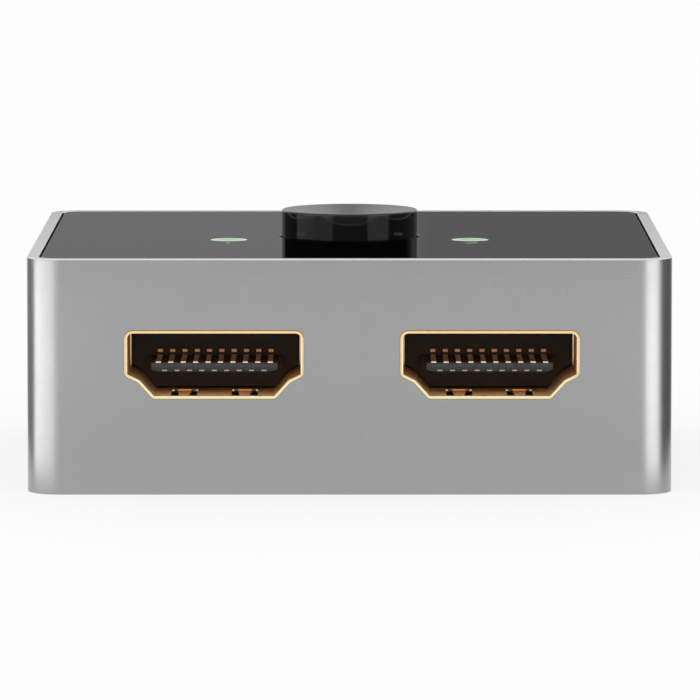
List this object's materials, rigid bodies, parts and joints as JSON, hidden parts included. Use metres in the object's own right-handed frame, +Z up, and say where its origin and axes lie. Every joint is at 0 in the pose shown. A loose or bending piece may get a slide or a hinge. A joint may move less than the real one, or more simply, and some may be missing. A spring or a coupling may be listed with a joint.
{
  "type": "hdmi switch box",
  "caption": "Low square aluminium box with a gloss black top, front and rear video sockets, status lights and a round latching push button that selects the active socket.",
  "frame": {"origin": "middle of the base, on the surface that the box stands on", "axes": "+X to the right seen from the front, +Y to the back, +Z up; the front sockets face -Y"},
  "size_m": [0.052, 0.05, 0.0213],
  "materials": {
    "satin_aluminium": "satin blasted and clear anodised",
    "gloss_black": "high gloss",
    "moulded_black": "fine moulded texture",
    "dark_steel": "blackened zinc plate",
    "board_black": "solder mask over glass fibre",
    "button_black": "high gloss",
    "switch_white": "moulded",
    "spring_steel": "drawn wire",
    "tinned_metal": "tin plate",
    "lamp_green": "clear light pipe, lit pale green",
    "led_white": "moulded package",
    "chip_black": "moulded package",
    "capacitor_tan": "fired ceramic with tinned ends",
    "resistor_black": "coated ceramic with tinned ends",
    "gold_plate": "gold plate over stamped sheet",
    "insulator_black": "moulded",
    "contact_gold": "gold plate"
  },
  "bodies": {
    "housing": {"sleeve": "satin_aluminium", "top_cover": "gloss_black", "bottom_cover": "moulded_black", "cover_screws": "dark_steel", "circuit_board": "board_black", "switch_body": "moulded_black", "switch_spring": "spring_steel", "switch_terminals": "tinned_metal", "left_light_pipe": "lamp_green", "right_light_pipe": "lamp_green", "left_led": "led_white", "right_led": "led_white", "selector_chip": "chip_black", "regulator": "chip_black", "diodes": "chip_black", "surge_arrays": "chip_black", "capacitors": "capacitor_tan", "resistors": "resistor_black", "left_socket_shell": "gold_plate", "left_socket_insulator": "insulator_black", "left_socket_contacts": "contact_gold", "right_socket_shell": "gold_plate", "right_socket_insulator": "insulator_black", "right_socket_contacts": "contact_gold", "rear_socket_shell": "gold_plate", "rear_socket_insulator": "insulator_black", "rear_socket_contacts": "contact_gold"},
    "button": {"button_cap": "button_black", "switch_plunger": "switch_white"}
  },
  "joints": [
    {"name": "button_press", "type": "slide", "parent": "housing", "child": "button", "axis": [0, 0, -1], "range_m": [0, 0.0015], "stiffness_N_per_m": 300, "springref_m": -0.002, "deforming": ["switch_spring"]}
  ]
}
